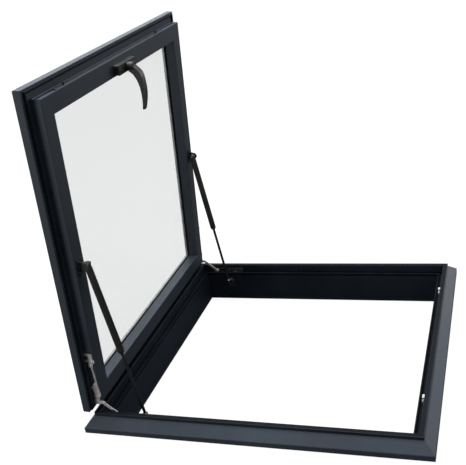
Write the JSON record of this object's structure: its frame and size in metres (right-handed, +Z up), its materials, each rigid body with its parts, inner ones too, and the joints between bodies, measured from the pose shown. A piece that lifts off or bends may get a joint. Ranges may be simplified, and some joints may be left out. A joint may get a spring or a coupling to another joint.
{
  "type": "roof access window",
  "caption": "Square roof window with a glazed sash that swings up on link hinges, held by gas struts, for climbing out through the kerb frame.",
  "frame": {"origin": "centre of the frame's foot, on the level its lining stands on", "axes": "+X from the hinge side to the lock side, +Y from the front end to the back, +Z up"},
  "size_m": [0.9044, 0.9, 0.9715],
  "materials": {
    "anthracite_coat": "fine matt powder coat on extruded profiles",
    "black_rubber": "matt",
    "clear_glass": "clear float glass",
    "spacer_grey": "plain mill finish",
    "bright_steel": "bright, lightly brushed",
    "black_handle": "satin black coat on a casting",
    "strut_black": "satin black",
    "rod_steel": "dark, smooth",
    "bracket_black": "satin black",
    "dark_steel": "dark coated steel strip",
    "keep_white": "light cast metal"
  },
  "bodies": {
    "frame": {"frame_wall_hinge": "anthracite_coat", "flange_hinge": "anthracite_coat", "frame_wall_lock": "anthracite_coat", "flange_lock": "anthracite_coat", "frame_wall_front": "anthracite_coat", "flange_front": "anthracite_coat", "frame_wall_back": "anthracite_coat", "flange_back": "anthracite_coat", "frame_seal": "black_rubber", "strut_foot_front": "bracket_black", "hinge_track_front": "bright_steel", "lock_keep_front": "keep_white", "strut_foot_back": "bracket_black", "hinge_track_back": "bright_steel", "lock_keep_back": "keep_white"},
    "sash": {"cap_rail_hinge": "anthracite_coat", "leaf_rail_hinge": "anthracite_coat", "cap_rail_lock": "anthracite_coat", "leaf_rail_lock": "anthracite_coat", "cap_rail_front": "anthracite_coat", "leaf_rail_front": "anthracite_coat", "cap_rail_back": "anthracite_coat", "leaf_rail_back": "anthracite_coat", "glazing_gasket": "black_rubber", "cap_seal": "black_rubber", "outer_pane": "clear_glass", "inner_pane": "clear_glass", "pane_spacer": "spacer_grey", "handle_base": "black_handle", "strut_lug_front": "bracket_black", "hinge_arm_front": "bright_steel", "strut_lug_back": "bracket_black", "hinge_arm_back": "bright_steel"},
    "handle": {"handle_lever": "black_handle"},
    "lock_slider": {"lock_bar": "dark_steel"},
    "tube_front": {"strut_tube_front": "strut_black"},
    "rod_front": {"strut_rod_front": "rod_steel"},
    "link_front": {"hinge_link_front": "bright_steel"},
    "tube_back": {"strut_tube_back": "strut_black"},
    "rod_back": {"strut_rod_back": "rod_steel"},
    "link_back": {"hinge_link_back": "bright_steel"}
  },
  "joints": [
    {"name": "sash_hinge", "type": "hinge", "parent": "frame", "child": "sash", "pos_m": [-0.426, 0, 0.1215], "axis": [0, 1, 0], "range_deg": [0, 84.9]},
    {"name": "strut_tube_front", "type": "hinge", "parent": "sash", "child": "tube_front", "pos_m": [-0.35629, -0.368, 0.53695], "axis": [0, 1, 0], "range_deg": [0, 8.52]},
    {"name": "strut_rod_front", "type": "slide", "parent": "tube_front", "child": "rod_front", "axis": [-0.105, 0, 0.9945], "range_m": [0, 0.1628]},
    {"name": "hinge_link_front", "type": "hinge", "parent": "sash", "child": "link_front", "pos_m": [-0.40196, -0.4036, 0.14445], "axis": [0, 1, 0], "range_deg": [-136.3, 0]},
    {"name": "strut_tube_back", "type": "hinge", "parent": "sash", "child": "tube_back", "pos_m": [-0.35629, 0.368, 0.53695], "axis": [0, 1, 0], "range_deg": [0, 8.52]},
    {"name": "strut_rod_back", "type": "slide", "parent": "tube_back", "child": "rod_back", "axis": [-0.105, 0, 0.9945], "range_m": [0, 0.1628]},
    {"name": "hinge_link_back", "type": "hinge", "parent": "sash", "child": "link_back", "pos_m": [-0.40196, 0.4036, 0.14445], "axis": [0, 1, 0], "range_deg": [-136.3, 0]},
    {"name": "handle_turn", "type": "hinge", "parent": "sash", "child": "handle", "pos_m": [-0.32153, -0.002, 0.91184], "axis": [0.996, 0, -0.0889], "range_deg": [0, 90]},
    {"name": "lock_slide", "type": "slide", "parent": "sash", "child": "lock_slider", "axis": [0, 1, 0], "range_m": [0, 0.01605]}
  ],
  "couplings": [
    {"joint": "strut_tube_front", "follows": "sash_hinge", "ratio": 0.099775},
    {"joint": "strut_rod_front", "follows": "sash_hinge", "m_per_rad": 0.1098},
    {"joint": "hinge_link_front", "follows": "sash_hinge", "ratio": -1.6034},
    {"joint": "strut_tube_back", "follows": "sash_hinge", "ratio": 0.099775},
    {"joint": "strut_rod_back", "follows": "sash_hinge", "m_per_rad": 0.1098},
    {"joint": "hinge_link_back", "follows": "sash_hinge", "ratio": -1.6034},
    {"joint": "lock_slide", "follows": "handle_turn", "m_per_rad": 0.010186}
  ]
}
